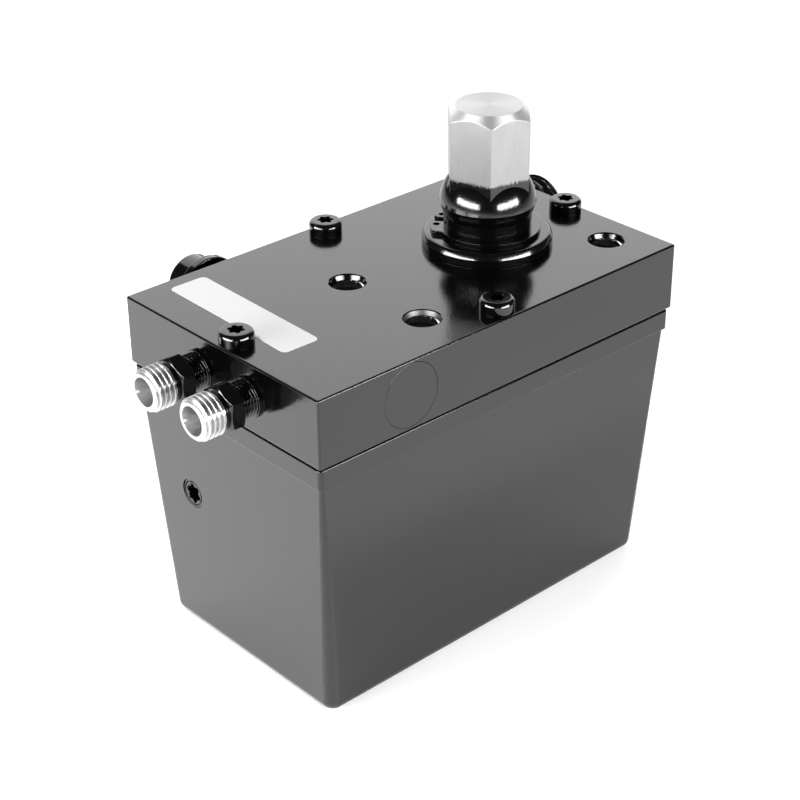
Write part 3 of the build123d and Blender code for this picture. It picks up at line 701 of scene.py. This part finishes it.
def cover_screws():
    """Painted heads; the shanks are threaded bright steel."""
    turns = (0.4, 0.1, 0.25, 0.55)
    shank_r, tip, thread_end, pitch, depth = 2.5, -32.0, -6.0, 0.8, 0.45
    first = None

    def cut(r, z, a):
        if z < thread_end and r > 2.4:
            return r - thread_cut(a, z, pitch, depth), z
        return r, z

    for index, ((x, y), turn) in enumerate(zip(SCREWS, turns), 1):
        head = screw_head(f"screw_head_{index}", x, y, turn)
        first = first or head
        z = tip + 0.6
        profile = [(0.0, tip), (2.0, tip), (shank_r, z)]
        while z < thread_end:
            z += pitch / 8
            profile.append((shank_r, z))
        profile += [(shank_r, 0.0), (0.0, 0.0)]
        place = along("+Z", x, y, TOP)
        mesh = lathe(f"screw_shank_{index}", profile, place, even_angles(32), cut)
        add_piece(f"screw_shank_{index}", mesh, "housing", "zinc_steel")
    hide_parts("cover_screws")


def coupling(index, x):
    """Stud coupling: stud thread, hexagon, hose thread and cone mouth; heights are from the block."""
    place = along("-Y", x, FRONT, MID)
    first = math.radians(30)
    stud_foot, stud_top, stud_pitch = -8.1, 5.3, 1.0
    nut_low, nut_high, nut_apothem, nut_r = 5.5, 10.0, 6.0, 7.3
    hose_foot, reach, hose_r, hose_pitch = 11.0, 18.0, 6.0, 1.5
    washer_top, fine = 1.0, 0.08

    rows = [(3.0, -8.5), (4.6, -8.5), (4.95, stud_foot)]
    step = stud_pitch / 14
    z = stud_foot
    while z < stud_top:
        z += step * (2 if z < 0 else 1)
        rows.append((4.98 if z < washer_top else 5.15, z))
    rows += [(5.1, nut_low), (5.7, nut_low)]
    rows += dense([(5.75, nut_low), (nut_r, 6.35)], fine)
    rows += dense([(nut_r, 6.35), (nut_r, 9.15)], 0.7)
    rows += dense([(nut_r, 9.15), (5.75, nut_high)], fine)
    rows += [(5.2, 10.05), (5.0, 10.2), (5.0, hose_foot)]
    rows += dense([(5.0, hose_foot), (6.05, 11.55)], fine)
    rows += dense([(6.05, 11.55), (6.05, reach - 1.0)], hose_pitch / 22)
    rows += dense([(6.05, reach - 1.0), (4.95, reach - 0.02)], fine)
    mouth = [(4.95, reach), (4.05, reach, 0.08), (3.05, 13.295), (3.05, 8.0), (2.0, 8.0), (2.0, -8.5)]
    rows += rounded_path(mouth, 4)
    rows.append((3.0, -8.5))

    def shape(r, z, a):
        if r > 4.4 and -8.2 < z < 5.4:
            if 0.0 <= z < washer_top:
                return 5.6, z
            return r - thread_cut(a, z, stud_pitch, 0.45) * (1.0 if z > 0 else 0.9), z
        if nut_low <= z <= nut_high and r > 5.6:
            return soft_low(r, hexagon_radius(nut_apothem, 0.15, a, first), 0.10), z
        if z > hose_foot and r > 4.9:
            return soft_low(r, hose_r - thread_cut(a, z, hose_pitch, 0.92), 0.05), z
        return r, z

    mesh = lathe(f"coupling_{index}", rows, place, hexagon_angles(first), shape)
    node = "coupling_left" if index == 1 else "coupling_right"
    add_piece(f"hose_coupling_{index}", mesh, "housing", "coupling_steel", (node,), 35.0)


def sealing_washers():
    """A painted washer between each coupling and the block."""
    path = rounded_path([(5.0, 0.0), (5.0, 1.0), (5.7, 1.0, 0.2), (5.7, 0.0), (5.0, 0.0)], 4)
    for index, x in enumerate(COUPLING_X):
        mesh = lathe(f"washer_{index}", path, along("-Y", x, FRONT, MID), even_angles(96))
        add_piece(f"sealing_washer_{index + 1}", mesh, "housing", "gloss_black_paint")
    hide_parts("coupling_seals")


def filler_cap():
    """Grooved cap with knurled rims."""
    place = along("+Y", CAP_X, REAR, MID)
    corners = [
        (0.0, -6.6),
        (5.2, -6.6, 0.2),
        (6.4, -5.4, 0.2),
        (6.4, -2.2),
        (5.0, -2.2),
        (5.0, 0.2),
        (8.4, 0.2, 0.2),
        (8.4, 2.0),
        (10.35, 2.15, 0.25),
        (10.35, 3.3, 0.2),
        (9.1, 4.1, 0.5),
        (9.1, 5.5, 0.5),
        (10.35, 6.5, 0.2),
        (10.35, 7.8, 0.3),
        (9.6, 8.5, 0.4),
        (0.0, 8.5),
    ]
    profile = dense(rounded_path(corners, 4), 0.6)
    teeth, knurl_depth, knurl_foot = 96, 0.45, 9.9

    def shape(r, z, a):
        if z > 2.0 and r > knurl_foot:
            groove = abs((teeth * a / math.pi) % 2 - 1)
            return r - knurl_depth * groove * min(1.0, (r - knurl_foot) / 0.25), z
        return r, z

    mesh = lathe("filler_cap", profile, place, even_angles(teeth * 6), shape)
    add_piece("filler_cap_turned", mesh, "cap", "gloss_black_paint", ("filler_cap",))


def selector_knob():
    """Flanged knob of the direction valve, with a recess for its screw."""
    place = along("-X", -SIDE, SPOOL_Y, MID)
    corners = [
        (2.99, 0.6),
        (5.6, 0.6),
        (5.6, 3.4, 0.2),
        (9.95, 3.4, 0.45),
        (9.95, 6.0, 0.45),
        (8.0, 6.15, 0.15),
        (8.0, 13.5, 1.1),
        (2.45, 13.5, 0.1),
        (2.45, 12.2),
        (1.3, 12.2),
        (1.3, 10.05),
        (2.99, 10.05),
        (2.99, 0.6),
    ]
    mesh = lathe("knob", rounded_path(corners, 6), place, even_angles(144))
    add_piece("selector_knob", mesh, "selector", "gloss_black_paint", ("valve_knob",))


def flush_plug():
    """Plug of the spool bore, flush with the block's side, with a groove for its O-ring."""
    place = along("+X", SIDE, SPOOL_Y, MID)
    corners = [(0.0, 0.0), (8.9, 0.0), (9.2, 0.0, 0.15), (9.2, -2.8), (7.5, -2.8), (7.5, -5.0)]
    corners += [(9.2, -5.0), (9.2, -6.2), (0.0, -6.2)]
    mesh = lathe("flush_plug", rounded_path(corners, 6), place, even_angles(160))
    add_piece("flush_plug", mesh, "housing", "gloss_black_paint", ("spool_bore_plug",))


def level_plug():
    """Small plug in the tank's front: a ring groove round a six-lobe socket."""
    face_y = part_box("level_plug")[0].y / MM
    place = along("-Y", LEVEL_X, face_y, LEVEL_Z)
    angles = even_angles(120)
    sunk, groove_floor, turn = 0.12, 0.62, 0.3
    lobe_r, waist_r = 2.85, 2.10
    outside = [(0.0, -9.0), (4.3, -9.0), (4.3, -7.0), (2.9, -7.0), (2.9, -5.0), (4.3, -5.0)]
    rim = [(4.3, -5.0), (4.3, -sunk - 0.12), (4.18, -sunk), (3.78, -sunk)]
    outside += rounded_path(rim, 6)
    outside += [(3.7, -groove_floor), (3.45, -groove_floor), (3.35, -sunk), (3.2, -sunk)]
    rings = [round_ring(angles, r, z) if r > 0 else [(0.0, 0.0, z)] for r, z in outside]
    for z, extra in ((-sunk, 0.25), (-sunk - 0.25, 0.0), (-3.0, 0.0)):
        rings.append(lobed_ring(angles, turn, lobe_r + extra, waist_r + extra, z))
    rings.append([(0.0, 0.0, -3.3)])
    mesh = rings_to_mesh("level_plug", rings, place)
    add_piece("oil_level_plug", mesh, "housing", "gloss_black_paint", ("level_plug",))


def bracket_threads():
    """Skins inside the three plain bracket holes: a helical thread and a countersunk mouth."""
    pitch, depth, bore_r, mouth_foot = 1.5, 0.80, 4.98, -1.5
    mouth_path = [(bore_r, mouth_foot), (4.52, -1.45), (4.96, -0.3), (5.02, -0.18)]

    def cut(r, z, a):
        return r - thread_cut(-a, -z, pitch, depth), z

    for index, (x, y, hole_depth) in enumerate(BRACKET_HOLES, 1):
        place = along("+Z", x, y, TOP)
        profile = []
        z = 1.5 - hole_depth
        while z < mouth_foot:
            profile.append((bore_r, z))
            z += pitch / 18
        profile.append((bore_r, mouth_foot - 0.02))
        thread = lathe(f"thread_{index}", profile, place, even_angles(96), cut)
        add_piece(f"bracket_thread_{index}", thread, "housing", "ground_steel")
        mouth = lathe(f"thread_mouth_{index}", mouth_path, place, even_angles(96))
        slot = "spring_steel" if index == 2 else "gloss_black_paint"
        add_piece(f"bracket_hole_mouth_{index}", mouth, "housing", slot)


def label():
    """Blank film label with rounded corners."""
    width, length, corner, thick = 50.4, 11.7, 1.6, 0.12
    label_x, label_y, tilt = -10.0, -50.1, math.radians(-1.2)
    steps = 8
    outline = []
    for sx, sy, start in ((1, 1, 0), (-1, 1, 90), (-1, -1, 180), (1, -1, 270)):
        centre_x, centre_y = sx * (width / 2 - corner), sy * (length / 2 - corner)
        for k in range(steps + 1):
            a = math.radians(start + 90 * k / steps)
            outline.append((centre_x + corner * math.cos(a), centre_y + corner * math.sin(a)))
    place = Matrix.Translation((label_x, label_y, TOP)) @ Matrix.Rotation(tilt, 4, "Z")
    rings = [[(0.0, 0.0, 0.0)]]
    for shrink, z in ((0.0, 0.0), (0.0, thick / 2), (0.06, thick)):
        narrow, short = 1 - shrink * 2 / width, 1 - shrink * 2 / length
        rings.append([(x * narrow, y * short, z) for x, y in outline])
    rings.append([(0.0, 0.0, thick)])
    mesh = rings_to_mesh("label", rings, place)
    add_piece("blank_label", mesh, "housing", "label_film", ("label_plate",))


hexagon_drive()
flanged_bush()
retaining_ring()
cover_screws()
for number, coupling_x in enumerate(COUPLING_X, 1):
    coupling(number, coupling_x)
sealing_washers()
filler_cap()
selector_knob()
flush_plug()
level_plug()
bracket_threads()
label()
cad_copy("valve_block", "housing")
cad_copy("tank", "housing")

for name, node in nodes.items():
    node.data.materials.clear()
    node.data.materials.append(MATERIALS[SLOT_OF[name]])


# ================================================================ stage: floor, lights, camera
def aim(piece, spot, target, roll=0.0):
    """Stands a lamp or camera at a spot, facing a target."""
    facing = (Vector(target) - Vector(spot)).to_track_quat("-Z", "Y")
    piece.location = spot
    piece.rotation_mode = "QUATERNION"
    piece.rotation_quaternion = facing @ Quaternion((0, 0, 1), math.radians(roll))


def floor():
    """Plain white floor with a faint glow."""
    half, glow, gap_below = 6.0, 0.25, 0.0002
    mesh = bpy.data.meshes.new("floor")
    corners = [(-half, -half, 0), (half, -half, 0), (half, half, 0), (-half, half, 0)]
    mesh.from_pydata(corners, [], [(0, 1, 2, 3)])
    graph = Graph("floor_white")
    colour = graph.tinted(graph.remap(graph.noise(40.0, 3.0, 0.5), 0.3, 0.7, 0.79, 0.81))
    shader = graph.principled(
        Base_Color=colour, Roughness=0.9, Emission_Color=grey(1.0), Emission_Strength=glow
    )
    mesh.materials.append(graph.finish(shader))
    piece = bpy.data.objects.new("floor", mesh)
    bpy.context.scene.collection.objects.link(piece)
    piece.location.z = -gap_below


def soft_box(name, azimuth, low, high, distance, width, radiance):
    """Upright rectangular light, from one elevation to another as seen from the object."""
    object_middle = 0.06
    bottom = distance * math.tan(math.radians(low))
    top = distance * math.tan(math.radians(high))
    data = bpy.data.lights.new(name, "AREA")
    data.shape = "RECTANGLE"
    data.size = width
    data.size_y = top - bottom
    data.energy = radiance * math.pi * width * (top - bottom)
    lamp = bpy.data.objects.new(name, data)
    bpy.context.scene.collection.objects.link(lamp)
    a = math.radians(azimuth)
    height = object_middle + (top + bottom) / 2
    aim(lamp, (distance * math.cos(a), distance * math.sin(a), height), (0, 0, height))
    lamp.visible_camera = False


def floor_spot(name, spot, target, angle, power):
    """Wide soft spot that brightens part of the floor and shows in no reflection."""
    data = bpy.data.lights.new(name, "SPOT")
    data.spot_size = math.radians(angle)
    data.spot_blend = 1.0
    data.shadow_soft_size = 0.1
    data.energy = power
    lamp = bpy.data.objects.new(name, data)
    bpy.context.scene.collection.objects.link(lamp)
    aim(lamp, spot, target)
    lamp.visible_glossy = False


def world(radiance):
    """Even dim light from all round."""
    made = bpy.data.worlds.new("studio")
    made.use_nodes = True
    background = made.node_tree.nodes["Background"]
    background.inputs["Color"].default_value = grey(1.0)
    background.inputs["Strength"].default_value = radiance
    bpy.context.scene.world = made


def camera(spot, target, roll, lens):
    data = bpy.data.cameras.new("camera")
    data.sensor_width = 36.0
    data.lens = lens
    data.clip_start, data.clip_end = 0.01, 50.0
    made = bpy.data.objects.new("camera", data)
    bpy.context.scene.collection.objects.link(made)
    aim(made, spot, target, roll)
    bpy.context.scene.camera = made


floor()
world(0.06)
soft_box("softbox_front", azimuth=-94.0, low=7.0, high=19.0, distance=1.0, width=1.12, radiance=29.0)
soft_box("softbox_right", azimuth=8.0, low=8.0, high=20.0, distance=0.6, width=0.60, radiance=28.0)
soft_box("softbox_back", azimuth=144.0, low=5.0, high=60.0, distance=1.2, width=2.3, radiance=2.25)
floor_spot("floor_spot", (-0.32, -0.38, 0.8), (-0.15, -0.2, 0.0), angle=56.0, power=48.0)
camera((0.353174, -0.323589, 0.329744), (0.0, -0.0032, 0.06178), roll=-0.507, lens=86.06)

scene = bpy.context.scene
scene.view_settings.view_transform = "Standard"
scene.view_settings.look = "None"
scene.view_settings.exposure = 0.0
